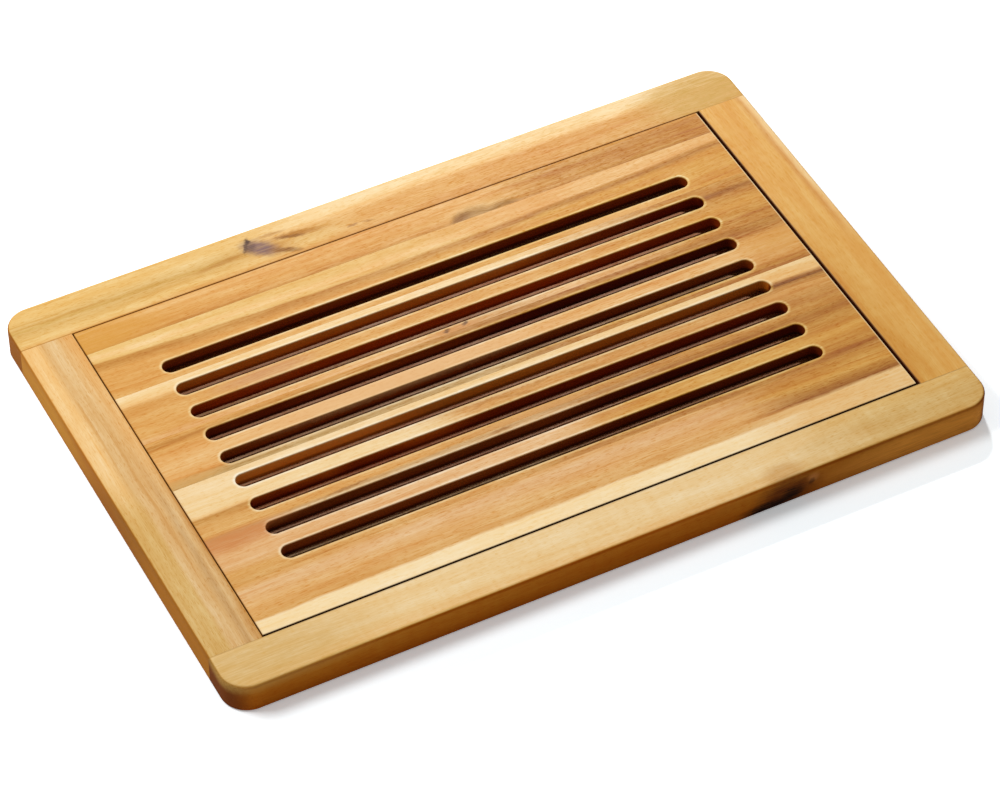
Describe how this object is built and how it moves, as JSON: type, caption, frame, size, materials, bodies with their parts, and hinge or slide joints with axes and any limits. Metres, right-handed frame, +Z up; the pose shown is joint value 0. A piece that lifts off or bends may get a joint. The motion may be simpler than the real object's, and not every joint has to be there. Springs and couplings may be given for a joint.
{
  "type": "bread board with crumb catcher",
  "caption": "Flat wooden bread board: a rounded frame round a loose slotted insert that lifts off a shallow tray, which catches the crumbs.",
  "frame": {"origin": "centre of the underside, on the surface that the board lies on", "axes": "+X along the board's length, towards its right; +Y to its back; +Z up"},
  "size_m": [0.475, 0.32, 0.02],
  "materials": {
    "back_rail": "oiled pale acacia, straight grain, one dark knot",
    "front_rail": "oiled pale acacia, straight grain",
    "left_stile": "oiled pale acacia, grain across the board",
    "right_stile": "oiled golden acacia, grain across the board",
    "floor": "oiled brown acacia",
    "ledge": "bare acacia",
    "dowel": "bare beech",
    "insert_stave_1": "oiled acacia, satin, lengthwise grain",
    "insert_stave_2": "oiled acacia, satin, lengthwise grain",
    "insert_stave_3": "oiled acacia, satin, lengthwise grain",
    "insert_stave_4": "oiled acacia, satin, lengthwise grain",
    "insert_stave_5": "oiled acacia, satin, lengthwise grain",
    "insert_stave_6": "oiled acacia, satin, lengthwise grain",
    "insert_stave_7": "oiled acacia, satin, lengthwise grain"
  },
  "bodies": {
    "frame": {"back_rail": "back_rail", "front_rail": "front_rail", "left_stile": "left_stile", "right_stile": "right_stile", "floor_stave_1": "floor", "floor_stave_2": "floor", "floor_stave_3": "floor", "floor_stave_4": "floor", "floor_stave_5": "floor", "floor_stave_6": "floor", "floor_stave_7": "floor", "ledge_back": "ledge", "ledge_front": "ledge", "ledge_left": "ledge", "ledge_right": "ledge", "dowel_back_left_outer": "dowel", "dowel_back_left_inner": "dowel", "dowel_back_right_outer": "dowel", "dowel_back_right_inner": "dowel", "dowel_front_left_outer": "dowel", "dowel_front_left_inner": "dowel", "dowel_front_right_outer": "dowel", "dowel_front_right_inner": "dowel"},
    "insert": {"insert_stave_1": "insert_stave_1", "insert_stave_2": "insert_stave_2", "insert_stave_3": "insert_stave_3", "insert_stave_4": "insert_stave_4", "insert_stave_5": "insert_stave_5", "insert_stave_6": "insert_stave_6", "insert_stave_7": "insert_stave_7"}
  },
  "joints": [
    {"name": "insert_lift", "type": "slide", "parent": "frame", "child": "insert", "axis": [0, 0, 1], "range_m": [0, 0.03]}
  ]
}
